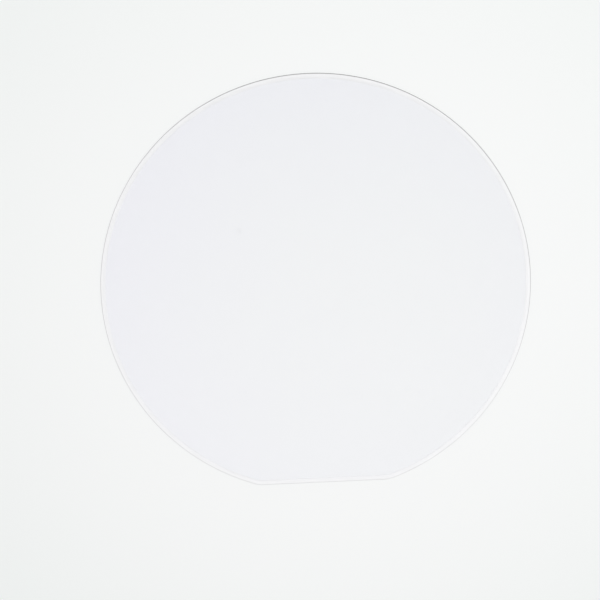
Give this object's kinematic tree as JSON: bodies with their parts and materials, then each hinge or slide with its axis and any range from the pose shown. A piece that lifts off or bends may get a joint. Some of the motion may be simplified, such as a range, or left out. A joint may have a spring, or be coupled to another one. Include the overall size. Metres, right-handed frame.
{
  "type": "silicon carbide wafer",
  "caption": "Thin round wafer of clear single-crystal silicon carbide, polished on both faces, with a bevelled and rounded ground edge and a straight orientation flat.",
  "frame": {"origin": "centre of the wafer's round edge, on its back face, which is the face it lies on", "axes": "+Z is the wafer's axis, from the back face to the front face; -Y is the outward normal of the flat; +X runs along the flat"},
  "size_m": [0.0508, 0.0495, 0.0005],
  "materials": {
    "silicon_carbide": "polished faces, finely ground edge"
  },
  "bodies": {
    "root": {"wafer": "silicon_carbide"}
  },
  "joints": []
}
